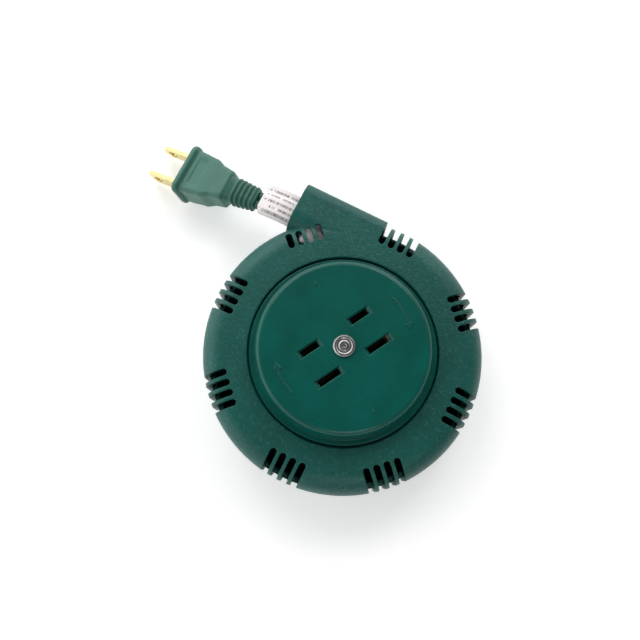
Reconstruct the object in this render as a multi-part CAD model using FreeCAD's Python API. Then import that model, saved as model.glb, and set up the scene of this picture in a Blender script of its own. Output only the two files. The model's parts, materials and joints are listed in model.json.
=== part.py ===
import FreeCAD, Part
import os
from math import cos, degrees, pi, radians, sin, sqrt, tan

# Hand-wound extension cord reel, in millimetres, lying on its flat back.
# +Z is the hub axis and points out of the outlets. The spout points along -X.

V = FreeCAD.Vector
UP = V(0, 0, 1)

# Housing: two shells that part at half height
HOUSING_R = 54.0
HOUSING_H = 28.0
PARTING_Z = HOUSING_H / 2
RIM_R = 8.0
WALL = 2.4
CAVITY_R = HOUSING_R - WALL
CAVITY_TOP = HOUSING_H - WALL
OPENING_R = 36.3
LIP_T = 1.3
LIP_H = 1.6
LIP_GAP = 0.1
GUIDE_RIB_R = 47.6
GUIDE_RIB_T = 0.8
GUIDE_RIB_H = 2.6

# Spout: a tangential mouth on the +Y side
MOUTH_X = -42.2
SPOUT_X = -7.3
SPOUT_OUT_Y = 54.4
SPOUT_IN_Y = 33.7
SPOUT_EDGE_R = 4.5
SPOUT_LIP = 1.2
SPOUT_ROUND_SHARE = 4 / 3
THROAT_X = (-38.5, -34.7)
THROAT_Y = (31.0, 35.3)
THROAT_Z = 20.6

# Vents: groups of four parallel slots, every 45 degrees
GROUP_STEP = 45
SPOUT_GROUP = 135
SLOT_W = 2.6
SLOT_PITCH = 4.0
SLOTS = 4
SLOT_IN_R = 44.1
SLOT_CLOSED_R = 50.6
SLOT_CLOSED_DEPTH = 5.6
FLUTE_R = HOUSING_R - 1.5
FLUTE_FOOT_Z = 2.6

# Self-tapping screws that hold the shells together
SHELL_SCREW_ANGLES = (67.5, 157.5, 247.5, 337.5)
SHELL_SCREW_R = 50.6
SHELL_BOSS_R = 2.4
SHELL_WELL_R = 2.15
SHELL_WELL_H = 4.6
SCREW_R = 1.15
SCREW_HEAD_R = 2.05
SCREW_HEAD_H = 1.4
SHELL_SCREW_TIP_Z = 19.0

# Bearing of the hub: a spigot on the rear shell and a pin through the hub
SPIGOT_R = 6.0
SPIGOT_TOP = 6.7
PIN_R = 2.0
PIN_FOOT_Z = 1.6
PIN_HEAD_R = 4.1
PIN_HEAD_H = 1.0
RUNNING_GAP = 0.05
BODY_GAP = 0.3
WASHER_T = 0.5
WASHER_R = 10.0

# Outlet disc, the raised front of the hub
DISC_TOP = 37.5
DISC_R = 32.6
DISC_FOOT_R = 33.6
DISC_EDGE_R = 2.0
DISC_T = 2.4
DISC_BORE_R = 31.2
RING_R = 35.8
RING_TOP = 27.4
RETAINER_R = 38.2
RETAINER_Z = (22.8, 25.2)
SKIRT_R = 36.0

# Spool behind the disc
FLOOR_Z = (3.2, 6.6)
DRUM_BORE_R = 18.0
DRUM_R = 20.2
REAR_FLANGE_R = 46.5
REAR_FLANGE_T = 1.5
FRONT_FLANGE_R = 43.0
FRONT_FLANGE_Z = (19.8, 21.2)
HUB_BOSS_V = 13.5
HUB_BOSS_R = 3.0
HUB_SCREW_TIP_Z = 18.0

# Outlets: two pairs of blade slots, in the disc's own directions U and V
OUTLET_ANGLE = 61.0
OUTLET_U = 11.0
BLADE_V = 6.35
SLOT_T = 2.4
LINE_SLOT_L = 7.4
NEUTRAL_SLOT_L = 9.2
LEAD_IN = 1.2
POLARITY = {"line": 1, "neutral": -1}
SLOT_LENGTH = {"line": LINE_SLOT_L, "neutral": NEUTRAL_SLOT_L}

# Raised marks on the disc: turning arrows and ticks
MARK_H = 0.3
MARK_W = 0.7
ARROW_R = 25.6
ARROW_ARCS = ((47.0, 72.0), (226.0, 249.5))
TICK_ANGLES = (141.0, 321.0)
TICK_L = 1.6

# Contacts
CARRIER_Z = (15.0, 35.0)
CARRIER_HALF_U = 16.6
CARRIER_HALF_V = 9.0
CARRIER_R = 17.7
CARRIER_EAR_R = 4.3
CARRIER_EAR_TOP = 20.0
POCKET_W = 3.8
POCKET_HALF_U = 15.4
POCKET_Z = 17.0
STRIP_T = 0.7
LEAF_GAP = 1.4
LEAF_W = 6.6
LEAF_TOP = 28.5
TAB_W = 3.0
TAB_FOOT_Z = 9.6
CRIMP_R = 1.9
CRIMP_L = 5.0

# Flat twin lead: two wires side by side in one jacket
CORD_W = 7.4
CORD_T = 3.8
WIRE_R = 1.4
CORE_R = 0.65
CORE_PITCH = 3.6
TAIL_U = 8.0
TAIL_Z = FLOOR_Z[1] + CORD_W / 2 + 0.1
TAIL_IN_V = -10.6
CLIP_T = 1.6
CLIP_V = (-13.6, -11.2)

# Winding on the drum
WINDING_R = 39.0
WINDING_Z = (4.9, 19.6)

# Tail between the winding and the plug: a tube of about the twin lead's own section
LEAD_R = 2.7
PLUG_PITCH = radians(16.5)
RELIEF_END = V(-58.9, 40.7, 18.6)
LEAD_LAST_RUN = 13.0

# Plug, measured along its own axis from the cord's end of the strain relief
RELIEF_L = 13.7
PLUG_FACE = 35.1
FLANGE_T = 2.6
FLANGE_SIZE = (22.0, 15.0)
FLANGE_CORNER = 3.0
BODY_SECTIONS = ((RELIEF_L, 13.0, 10.6), (18.4, 14.2, 11.2), (25.6, 18.2, 12.0), (32.8, 19.4, 12.6))
BODY_CORNER = 2.6
RELIEF_ENDS = ((8.6, 6.4), (9.8, 8.0))
RELIEF_RIBS = 5
RIB_T = 1.3
RIB_OUT = 0.9
BLADE_T = 1.5
BLADE_L = 16.0
BLADE_ROOT = 7.5
BLADE_W = {"line": 6.35, "neutral": 7.9}
BLADE_HOLE_R = 1.9
BLADE_HOLE = 11.9
BLADE_CORNER = 1.4
BRIDGE = (28.6, 32.2)
BRIDGE_SIZE = (16.4, 9.6)
BARREL_R = 1.5
BARREL_L = 4.0

# Warning tag folded round the cord
TAG_X = (-57.4, -24.0)
TAG_Y = 42.4
TAG_W = 13.4
TAG_T = 6.2
TAG_EDGE_T = 1.6
TAG_CORNER = 2.0


def cylinder(radius, z_low, z_high, x=0.0, y=0.0):
    return Part.makeCylinder(radius, z_high - z_low, V(x, y, z_low))


def ring(outer, inner, z_low, z_high, x=0.0, y=0.0):
    return cylinder(outer, z_low, z_high, x, y).cut(cylinder(inner, z_low - 1, z_high + 1, x, y))


def block(x_range, y_range, z_range):
    size = [high - low for low, high in (x_range, y_range, z_range)]
    return Part.makeBox(*size, V(x_range[0], y_range[0], z_range[0]))


def turned(shape, angle):
    copy = shape.copy()
    copy.rotate(V(0, 0, 0), UP, angle)
    return copy


def fused(shapes):
    shapes = list(shapes)
    return shapes[0].multiFuse(shapes[1:]).removeSplitter() if len(shapes) > 1 else shapes[0]


def polar(radius, angle, z=0.0):
    return V(radius * cos(radians(angle)), radius * sin(radians(angle)), z)


def revolved(points):
    face = Part.Face(Part.makePolygon([V(r, 0, z) for r, z in points + points[:1]]))
    return face.revolve(V(0, 0, 0), UP, 360)


def edges_at_z(shape, z, accept):
    """Edges that lie flat at height z and whose middle passes the test."""
    found = []
    for edge in shape.Edges:
        box = edge.BoundBox
        if abs(box.ZMin - z) < 1e-4 and abs(box.ZMax - z) < 1e-4 and accept(edge):
            found.append(edge)
    return found


def rounded_drum(radius, z_low, z_high, edge_r):
    drum = cylinder(radius, z_low, z_high)
    rims = [edge for z in (z_low, z_high) for edge in edges_at_z(drum, z, lambda e: True)]
    return drum.makeFillet(edge_r, rims)


def save(name, shape):
    solids = shape.Solids
    assert solids and all(solid.isValid() for solid in solids), name
    shape = solids[0] if len(solids) == 1 else Part.makeCompound(solids)
    shape.exportStep(f"parts/{name}.step")
    print(f"{name}: {len(solids)} solid, {shape.Volume / 1000:.2f} cm3")


# Housing -----------------------------------------------------------------

def spout_block(inset, lip, x_low, x_high):
    """The spout's section drawn along X: its disc side has the same round edge as the drum's rim."""
    y_out = SPOUT_OUT_Y - inset
    y_in = SPOUT_IN_Y + lip
    top = HOUSING_H - inset
    outer_r = SPOUT_EDGE_R - inset / 2
    inner_r = RIM_R - inset * SPOUT_ROUND_SHARE
    diagonal = 1 - sqrt(0.5)

    def at(y, z):
        return V(x_low, y, z)

    def round_corner(y, way, radius):
        ends = [at(y, top - radius), at(y + way * radius, top)]
        middle = at(y + way * radius * diagonal, top - radius * diagonal)
        return ends, Part.Arc(ends[0], middle, ends[1]).toShape()

    (out_low, out_top), out_arc = round_corner(y_out, -1, outer_r)
    (in_low, in_top), in_arc = round_corner(y_in, 1, inner_r)
    foot = [at(y_out, PARTING_Z), at(y_in, PARTING_Z)]
    pairs = ((foot[0], out_low), (out_top, in_top), (in_low, foot[1]), (foot[1], foot[0]))
    lines = [Part.LineSegment(*pair).toShape() for pair in pairs]
    wire = Part.Wire(Part.__sortEdges__(lines + [out_arc, in_arc]))
    upper = Part.Face(wire).extrude(V(x_high - x_low, 0, 0))
    lower = upper.mirror(V(0, 0, PARTING_Z), UP)
    return upper.fuse(lower).removeSplitter()


def housing_walls():
    outside = rounded_drum(HOUSING_R, 0, HOUSING_H, RIM_R)
    outside = outside.fuse(spout_block(0, 0, MOUTH_X, SPOUT_X))
    inside = rounded_drum(CAVITY_R, WALL, CAVITY_TOP, RIM_R - WALL)
    inside = inside.fuse(spout_block(WALL, SPOUT_LIP, MOUTH_X - 1, SPOUT_X))
    return outside.removeSplitter(), inside.removeSplitter()


def slot_offsets():
    return [(i - (SLOTS - 1) / 2) * SLOT_PITCH for i in range(SLOTS)]


def vent_cutters():
    """Slots that start round near the hub and run out over the rim, down to the parting line."""
    cutters = []
    start = SLOT_IN_R + SLOT_W / 2
    for group in range(0, 360, GROUP_STEP):
        closed = group == SPOUT_GROUP
        z_low = HOUSING_H - SLOT_CLOSED_DEPTH if closed else PARTING_Z - 0.01
        end = SLOT_CLOSED_R - SLOT_W / 2 if closed else HOUSING_R + 2
        for offset in slot_offsets():
            z_range = (z_low, HOUSING_H + 1)
            slot = block((start, end), (offset - SLOT_W / 2, offset + SLOT_W / 2), z_range)
            slot = slot.fuse(cylinder(SLOT_W / 2, *z_range, start, offset))
            if closed:
                slot = slot.fuse(cylinder(SLOT_W / 2, *z_range, end, offset))
            cutters.append(turned(slot, group))
    return cutters


def flute_cutters():
    """Shallow grooves that carry the vents' lines on down the rear shell."""
    cutters = []
    for group in range(0, 360, GROUP_STEP):
        if group == SPOUT_GROUP:
            continue
        for offset in slot_offsets():
            y_range = (offset - SLOT_W / 2, offset + SLOT_W / 2)
            groove = block((HOUSING_R - 9, HOUSING_R + 2), y_range, (FLUTE_FOOT_Z, PARTING_Z + 0.01))
            cutters.append(turned(groove.cut(cylinder(FLUTE_R, 0, HOUSING_H)), group))
    return cutters


def boss_places():
    return [polar(SHELL_SCREW_R, angle) for angle in SHELL_SCREW_ANGLES]


def front_shell(outside, inside):
    upper = block((-99, 99), (-99, 99), (PARTING_Z, HOUSING_H + 1))
    outer = outside.common(upper)
    shell = outer.cut(inside)
    bosses = [cylinder(SHELL_BOSS_R, PARTING_Z, CAVITY_TOP + 1, p.x, p.y) for p in boss_places()]
    throat = block(THROAT_X, THROAT_Y, (THROAT_Z, CAVITY_TOP + 1))
    shell = fused([shell] + [part.common(outer) for part in bosses + [throat]])
    shell = shell.cut(cylinder(OPENING_R, 0, HOUSING_H + 1))
    lead_in = edges_at_z(shell, HOUSING_H, lambda e: abs(e.BoundBox.XMax - OPENING_R) < 0.01)
    shell = shell.makeFillet(0.5, lead_in)
    screw_holes = [cylinder(SCREW_R, 0, SHELL_SCREW_TIP_Z, p.x, p.y) for p in boss_places()]
    return shell.cut(Part.makeCompound(screw_holes)).cut(Part.makeCompound(vent_cutters()))


def rear_shell(outside, inside):
    lower = block((-99, 99), (-99, 99), (-1, PARTING_Z))
    outer = outside.common(lower)
    shell = outer.cut(inside)
    lip_r = CAVITY_R - LIP_GAP
    lip = ring(lip_r, lip_r - LIP_T, PARTING_Z - 4, PARTING_Z + LIP_H)
    lip_foot = ring(CAVITY_R + 0.5, lip_r - LIP_T, PARTING_Z - 4, PARTING_Z)
    channel = spout_block(WALL, SPOUT_LIP, MOUTH_X - 1, SPOUT_X + 12)
    lip = lip.fuse(lip_foot).cut(channel)
    for place in boss_places():
        lip = lip.cut(cylinder(SHELL_BOSS_R + LIP_GAP, PARTING_Z, HOUSING_H, place.x, place.y))
    guide = ring(GUIDE_RIB_R + GUIDE_RIB_T, GUIDE_RIB_R, WALL - 1, WALL + GUIDE_RIB_H)
    guide = guide.cut(channel)
    bosses = [cylinder(SHELL_BOSS_R, 0, PARTING_Z, p.x, p.y).common(outer) for p in boss_places()]
    spigot = cylinder(SPIGOT_R, 0, SPIGOT_TOP)
    shell = fused([shell, lip, guide, spigot] + bosses)
    cutters = flute_cutters()
    for place in boss_places():
        cutters.append(cylinder(SHELL_WELL_R, -1, SHELL_WELL_H, place.x, place.y))
        cutters.append(cylinder(SCREW_R, 0, PARTING_Z + 1, place.x, place.y))
    cutters.append(cylinder(PIN_R, PIN_FOOT_Z, SPIGOT_TOP + 1))
    return shell.cut(Part.makeCompound(cutters))


def screw(head_z, tip_z, x, y, upward=True):
    """A pan-head self-tapping screw with a cross recess; its head lies below head_z."""
    way = 1 if upward else -1
    shank = Part.makeCylinder(SCREW_R, abs(tip_z - head_z) - 1.2, V(x, y, head_z), V(0, 0, way))
    tip_base = head_z + way * (abs(tip_z - head_z) - 1.2)
    tip = Part.makeCone(SCREW_R, 0.2, 1.2, V(x, y, tip_base), V(0, 0, way))
    head = Part.makeCylinder(SCREW_HEAD_R, SCREW_HEAD_H, V(x, y, head_z), V(0, 0, -way))
    end = head_z - way * SCREW_HEAD_H
    head = head.makeFillet(0.5, edges_at_z(head, end, lambda e: True))
    low, high = sorted((end - way * 0.1, end + way * 0.8))
    arm = SCREW_HEAD_R * 0.6
    cross = block((x - arm, x + arm), (y - 0.3, y + 0.3), (low, high))
    cross = cross.fuse(block((x - 0.3, x + 0.3), (y - arm, y + arm), (low, high)))
    return fused([head, shank, tip]).cut(cross)


def shell_screws():
    tip = SHELL_SCREW_TIP_Z
    return Part.makeCompound([screw(SHELL_WELL_H, tip, p.x, p.y) for p in boss_places()])


def centre_pin():
    foot = cylinder(PIN_R, PIN_FOOT_Z, DISC_TOP + 0.2)
    low = DISC_TOP + 0.2
    top = low + PIN_HEAD_H
    rim = PIN_HEAD_R - 0.5
    points = [(0, low), (PIN_HEAD_R, low), (PIN_HEAD_R, top - 0.5), (rim, top)]
    points += [(rim - 0.5, top), (rim - 0.9, top - 0.25), (2.1, top - 0.25), (1.7, top)]
    points += [(0.9, top), (0.5, top - 0.4), (0, top - 0.4)]
    return foot.fuse(revolved(points)).removeSplitter()


def thrust_washer():
    return ring(WASHER_R, SPIGOT_R + 0.2, WALL, WALL + WASHER_T)


# Hub ---------------------------------------------------------------------

def in_hub(shape):
    """From the hub's own U and V directions to the reel's X and Y."""
    return turned(shape, OUTLET_ANGLE)


def hub_boss_places():
    return ((0.0, HUB_BOSS_V), (0.0, -HUB_BOSS_V))


def outlet_slot(u, v, length):
    """A blade slot through the disc, with a small lead-in all round its mouth."""
    half_l = length / 2
    half_t = SLOT_T / 2
    cut = block((u - half_l, u + half_l), (v - half_t, v + half_t), (DISC_TOP - 9, DISC_TOP + 1))

    def rectangle(grow, z):
        pairs = ((-1, -1), (1, -1), (1, 1), (-1, 1), (-1, -1))
        corners = [V(u + a * (half_l + grow), v + b * (half_t + grow / 3), z) for a, b in pairs]
        return Part.makePolygon(corners)

    mouth = Part.makeLoft([rectangle(0, DISC_TOP - LEAD_IN), rectangle(LEAD_IN, DISC_TOP)], True)
    return cut.fuse(mouth)


def outlet_slots():
    slots = []
    for side in (1, -1):
        for pole, way in POLARITY.items():
            slots.append(outlet_slot(side * OUTLET_U, way * BLADE_V, SLOT_LENGTH[pole]))
    return slots


def arc_bar(radius, start, end, width, z_low, z_high):
    """A flat bar that follows a circle from one angle to another."""
    outer = radius + width / 2
    bar = ring(outer, radius - width / 2, z_low, z_high)
    reach = outer * 2
    corners = [V(0, 0, 0), polar(reach, start), polar(reach, (start + end) / 2), polar(reach, end)]
    wedge = Part.Face(Part.makePolygon(corners + [V(0, 0, 0)])).extrude(V(0, 0, 99))
    return bar.common(wedge)


def disc_marks():
    """Two curved arrows that show the way to wind, and two ticks."""
    top = DISC_TOP + MARK_H
    marks = []
    for start, end in ARROW_ARCS:
        marks.append(arc_bar(ARROW_R, start, end, MARK_W, DISC_TOP - 0.2, top))
        points = [polar(ARROW_R + 1.4, start), polar(ARROW_R, start - 5), polar(ARROW_R - 1.4, start)]
        head = Part.Face(Part.makePolygon(points + points[:1])).extrude(V(0, 0, top - DISC_TOP + 0.2))
        head.translate(V(0, 0, DISC_TOP - 0.2))
        marks.append(head)
    for angle in TICK_ANGLES:
        place = ARROW_R + 0.1
        tick = block((place - TICK_L / 2, place + TICK_L / 2), (-0.35, 0.35), (DISC_TOP - 0.2, top))
        marks.append(turned(tick, angle))
    return marks


def outlet_cover():
    """The hub's raised disc, the ring that fills the housing's opening, and its retaining flange."""
    slope = (DISC_FOOT_R - DISC_R) / (DISC_TOP - DISC_EDGE_R - RING_TOP)
    points = [(0, DISC_TOP), (DISC_R - slope * DISC_EDGE_R, DISC_TOP), (DISC_FOOT_R, RING_TOP)]
    points += [(RING_R, RING_TOP), (RING_R, RETAINER_Z[1]), (RETAINER_R, RETAINER_Z[1])]
    points += [(RETAINER_R, RETAINER_Z[0]), (SKIRT_R, RETAINER_Z[0]), (SKIRT_R, FRONT_FLANGE_Z[1])]
    points += [(DISC_BORE_R, FRONT_FLANGE_Z[1]), (DISC_BORE_R - 1, DISC_TOP - DISC_T)]
    points += [(0, DISC_TOP - DISC_T)]
    cover = revolved(points)
    cover = cover.makeFillet(DISC_EDGE_R, edges_at_z(cover, DISC_TOP, lambda e: True))
    ring_edges = edges_at_z(cover, RING_TOP, lambda e: abs(e.BoundBox.XMax - RING_R) < 0.01)
    cover = cover.makeFillet(0.4, ring_edges)
    bosses = []
    for u, v in hub_boss_places():
        bosses.append(cylinder(HUB_BOSS_R, FLOOR_Z[1], DISC_TOP - 1, u, v))
    cover = fused([cover, in_hub(Part.makeCompound(bosses))] + disc_marks())
    holes = outlet_slots()
    holes += [cylinder(SCREW_R, 0, HUB_SCREW_TIP_Z, u, v) for u, v in hub_boss_places()]
    cover = cover.cut(in_hub(Part.makeCompound(holes)))
    return cover.cut(cylinder(PIN_R + RUNNING_GAP, DISC_TOP - 5, DISC_TOP + 1))


def spool():
    """Drum, both flanges, the floor with its bearing bore, and pads under the contact carrier."""
    floor = cylinder(DRUM_R, *FLOOR_Z)
    rear = cylinder(REAR_FLANGE_R, FLOOR_Z[0], FLOOR_Z[0] + REAR_FLANGE_T)
    collar = cylinder(SPIGOT_R + 2.4, FLOOR_Z[0], SPIGOT_TOP + BODY_GAP)
    drum = ring(DRUM_R, DRUM_BORE_R, FLOOR_Z[0], FRONT_FLANGE_Z[1])
    front = ring(FRONT_FLANGE_R, DRUM_BORE_R, *FRONT_FLANGE_Z)
    pads = []
    for side in (1, -1):
        u_range = sorted((side * 13.4, side * 15.8))
        pads.append(block(u_range, (-1.5, 1.5), (FLOOR_Z[0] + 1, CARRIER_Z[0])))
    body = fused([floor, rear, collar, drum, front, in_hub(Part.makeCompound(pads))])
    cutters = []
    for u, v in hub_boss_places():
        cutters.append(cylinder(SCREW_HEAD_R + 0.2, 0, FLOOR_Z[0] + SCREW_HEAD_H + 0.2, u, v))
        cutters.append(cylinder(SCREW_R + 0.1, 0, FLOOR_Z[1] + 1, u, v))
    u_range = (TAIL_U - CORD_T / 2, TAIL_U + CORD_T / 2)
    cutters.append(block(u_range, (-DRUM_R - 1, -12.0), (TAIL_Z - CORD_W / 2, TAIL_Z + CORD_W / 2)))
    body = body.cut(in_hub(Part.makeCompound(cutters)))
    return body.cut(cylinder(SPIGOT_R + RUNNING_GAP, 0, SPIGOT_TOP + 2))


def hub_screws():
    head_z = FLOOR_Z[0] + SCREW_HEAD_H + 0.2
    screws = [screw(head_z, HUB_SCREW_TIP_Z, u, v) for u, v in hub_boss_places()]
    return in_hub(Part.makeCompound(screws))


def contact_carrier():
    """Insulating block with one long pocket for each bus strip."""
    body = block((-CARRIER_HALF_U, CARRIER_HALF_U), (-CARRIER_HALF_V, CARRIER_HALF_V), CARRIER_Z)
    body = body.common(cylinder(CARRIER_R, 0, 99))
    for u, v in hub_boss_places():
        body = body.fuse(cylinder(CARRIER_EAR_R, CARRIER_Z[0], CARRIER_EAR_TOP, u, v))
        web = sorted((v, v * CARRIER_HALF_V / HUB_BOSS_V * 0.9))
        body = body.fuse(block((-HUB_BOSS_R, HUB_BOSS_R), web, (CARRIER_Z[0], CARRIER_EAR_TOP)))
    cutters = [cylinder(PIN_R + BODY_GAP, 0, 99)]
    for u, v in hub_boss_places():
        cutters.append(cylinder(HUB_BOSS_R + LIP_GAP, 0, 99, u, v))
    for way in POLARITY.values():
        v = way * BLADE_V
        pocket = ((-POCKET_HALF_U, POCKET_HALF_U), (v - POCKET_W / 2, v + POCKET_W / 2))
        cutters.append(block(*pocket, (POCKET_Z, 99)))
        cutters.append(block((-TAB_W / 2, TAB_W / 2), (v - STRIP_T / 2, v + STRIP_T / 2), (0, 99)))
    return in_hub(body.cut(Part.makeCompound(cutters)))


def bus_strip(way):
    """A brass strip with a pair of spring leaves under each outlet and one solder tab."""
    v = way * BLADE_V
    half = LEAF_GAP / 2 + STRIP_T
    u_end = OUTLET_U + LEAF_W / 2
    strip = [block((-u_end, u_end), (v - half, v + half), (POCKET_Z, POCKET_Z + STRIP_T))]
    for side in (1, -1):
        u_range = (side * OUTLET_U - LEAF_W / 2, side * OUTLET_U + LEAF_W / 2)
        for face in (1, -1):
            v_range = sorted((v + face * LEAF_GAP / 2, v + face * half))
            strip.append(block(u_range, v_range, (POCKET_Z, LEAF_TOP)))
    tab_z = (TAB_FOOT_Z, POCKET_Z + STRIP_T)
    strip.append(block((-TAB_W / 2, TAB_W / 2), (v - STRIP_T / 2, v + STRIP_T / 2), tab_z))
    return in_hub(fused(strip))


def crimp(way):
    """A crimp sleeve on the tab's foot, bored for the bare core."""
    v = way * BLADE_V
    z = TAB_FOOT_Z
    sleeve = Part.makeCylinder(CRIMP_R, CRIMP_L, V(-CRIMP_L / 2, v, z), V(1, 0, 0))
    bore = Part.makeCylinder(CORE_R, CRIMP_L + 1, V(-CRIMP_L / 2, v, z), V(1, 0, 0))
    tab = block((-TAB_W / 2, TAB_W / 2), (v - STRIP_T / 2, v + STRIP_T / 2), (z, z + 9))
    return in_hub(sleeve.cut(bore).cut(tab))


# Cord --------------------------------------------------------------------

def route_wire(points, name):
    """Straight runs joined by tangent arcs, each as large as its two runs allow."""
    runs = [(b - a).Length for a, b in zip(points, points[1:])]
    edges = []
    start = points[0]
    radii = []
    for i in range(1, len(points) - 1):
        back = (points[i - 1] - points[i]).normalize()
        ahead = (points[i + 1] - points[i]).normalize()
        half_turn = (pi - back.getAngle(ahead)) / 2
        reach = 0.45 * min(runs[i - 1], runs[i])
        radius = reach / tan(half_turn)
        radii.append(radius)
        enter = points[i] + back * reach
        leave = points[i] + ahead * reach
        bisector = (back + ahead).normalize()
        middle = points[i] + bisector * (radius / cos(half_turn) - radius)
        edges.append(Part.LineSegment(start, enter).toShape())
        edges.append(Part.Arc(enter, middle, leave).toShape())
        start = leave
    edges.append(Part.LineSegment(start, points[-1]).toShape())
    print(f"{name}: arc radii " + ", ".join(f"{radius:.1f}" for radius in radii))
    return Part.Wire(edges)


def tube(points, radius, name):
    wire = route_wire(points, name)
    profile = Part.Wire(Part.makeCircle(radius, points[0], points[1] - points[0]))
    solid = wire.makePipeShell([profile], True, True)
    ideal = pi * radius**2 * wire.Length
    print(f"{name}: length {wire.Length:.1f}, volume over section times length {solid.Volume / ideal:.4f}")
    return solid


def cord_winding():
    """The outer shape of all the turns on the drum."""
    return ring(WINDING_R, DRUM_R, *WINDING_Z)


def cord_tail():
    """The inner end of the lead, on edge, through the drum wall and under the clip."""
    u_range = (TAIL_U - CORD_T / 2, TAIL_U + CORD_T / 2)
    v_start = -sqrt(DRUM_R**2 - TAIL_U**2)
    z_range = (TAIL_Z - CORD_W / 2, TAIL_Z + CORD_W / 2)
    body = block(u_range, (v_start - 3, TAIL_IN_V), z_range)
    return in_hub(body.common(cylinder(DRUM_R, 0, 99)))


def tail_clip():
    """An upside-down U that presses the tail onto the floor."""
    half = CORD_T / 2
    u_range = (TAIL_U - half - CLIP_T, TAIL_U + half + CLIP_T)
    top = TAIL_Z + CORD_W / 2
    clip = block(u_range, CLIP_V, (FLOOR_Z[1], top + CLIP_T / 2))
    return in_hub(clip.cut(block((TAIL_U - half, TAIL_U + half), CLIP_V, (FLOOR_Z[1] - 1, top))))


def hub_wire(way):
    """One insulated wire from the tail's end to its crimp."""
    v = way * BLADE_V
    z = TAIL_Z + way * CORE_PITCH / 2
    start = V(TAIL_U, TAIL_IN_V, z)
    end = V(CRIMP_L / 2, v, TAB_FOOT_Z)
    if way > 0:
        route = [start, V(TAIL_U, 1.5, z), V(7.0, v, TAB_FOOT_Z - 0.2), end]
    else:
        route = [start, V(TAIL_U, v, TAB_FOOT_Z - 0.6), end]
    wire = in_hub(tube(route, WIRE_R, "hub wire"))
    return wire.cut(cord_tail()).cut(crimp(way))


def plug_axis():
    return V(-cos(PLUG_PITCH), 0, -sin(PLUG_PITCH))


def lead_route():
    """From the outermost turn, through the spout and down to the strain relief."""
    last = RELIEF_END - plug_axis() * LEAD_LAST_RUN
    return [V(-1.0, 42.0, 12.6), V(-16.0, 42.2, 15.0), V(-32.0, 42.6, 18.3), last, RELIEF_END]


# Plug --------------------------------------------------------------------

def on_plug(shape):
    """From the plug's own axes (X along the axis to the tips, Y across the blades) to its place."""
    copy = shape.copy()
    copy.rotate(V(0, 0, 0), V(0, 0, 1), 180)
    copy.rotate(V(0, 0, 0), V(0, 1, 0), -degrees(PLUG_PITCH))
    copy.translate(RELIEF_END)
    return copy


def rounded_section(x, width, height, corner):
    """A rounded rectangle across the plug's axis, as one closed wire."""
    half_w = width / 2 - corner
    half_h = height / 2 - corner
    edges = []
    centres = ((half_w, half_h), (-half_w, half_h), (-half_w, -half_h), (half_w, -half_h))
    for i, (cy, cz) in enumerate(centres):
        angles = [radians(90 * i + step) for step in (0, 45, 90)]
        arc = [V(x, cy + corner * cos(a), cz + corner * sin(a)) for a in angles]
        edges.append(Part.Arc(*arc).toShape())
        ny, nz = centres[(i + 1) % 4]
        angle = radians(90 * i + 90)
        ahead = V(x, ny + corner * cos(angle), nz + corner * sin(angle))
        edges.append(Part.LineSegment(arc[2], ahead).toShape())
    return Part.Wire(edges)


def plate(x_range, width, height, corner):
    face = Part.Face(rounded_section(x_range[0], width, height, corner))
    return face.extrude(V(x_range[1] - x_range[0], 0, 0))


def blade(pole):
    """A flat brass blade with a hole near its tip and a crimp barrel on its root."""
    y = -POLARITY[pole] * BLADE_V
    half_w = BLADE_W[pole] / 2
    tip = PLUG_FACE + BLADE_L
    root = PLUG_FACE - BLADE_ROOT
    outline = [(root, -2.4), (PLUG_FACE - 3, -half_w), (tip - BLADE_CORNER, -half_w)]
    outline += [(tip, -half_w + BLADE_CORNER), (tip, half_w - BLADE_CORNER)]
    outline += [(tip - BLADE_CORNER, half_w), (PLUG_FACE - 3, half_w), (root, 2.4)]
    points = [V(x, y - BLADE_T / 2, z) for x, z in outline]
    body = Part.Face(Part.makePolygon(points + points[:1])).extrude(V(0, BLADE_T, 0))
    hole = Part.makeCylinder(BLADE_HOLE_R, 9, V(PLUG_FACE + BLADE_HOLE, y - 4.5, 0), V(0, 1, 0))
    barrel = Part.makeCylinder(BARREL_R, BARREL_L + 0.2, V(root - BARREL_L, y, 0), V(1, 0, 0))
    bore = Part.makeCylinder(CORE_R, BARREL_L, V(root - BARREL_L, y, 0), V(1, 0, 0))
    return body.cut(hole).fuse(barrel.cut(bore)).removeSplitter()


def plug_wire(pole):
    """The bare core that fans out inside the plug to its blade's barrel."""
    y = -POLARITY[pole] * BLADE_V
    y_in = -POLARITY[pole] * CORE_PITCH / 2
    end = PLUG_FACE - BLADE_ROOT
    mid = end - BARREL_L
    route = [V(3, y_in, 0), V(11.1, y_in * 1.05, 0), V(mid - 2.4, y * 0.98, 0), V(end, y, 0)]
    return tube(route, CORE_R, "plug wire")


def blade_bridge():
    """The stiff insert that holds both blades at their spacing inside the soft moulding."""
    return plate(BRIDGE, *BRIDGE_SIZE, 1.5)


def plug_body():
    sections = [rounded_section(x, w, h, BODY_CORNER) for x, w, h in BODY_SECTIONS]
    body = Part.makeLoft(sections, True)
    flange = plate((PLUG_FACE - FLANGE_T, PLUG_FACE), *FLANGE_SIZE, FLANGE_CORNER)
    flange = flange.makeFillet(0.5, [e for e in flange.Edges if e.BoundBox.XLength < 1e-6])
    return body.fuse(flange).removeSplitter()


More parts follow.
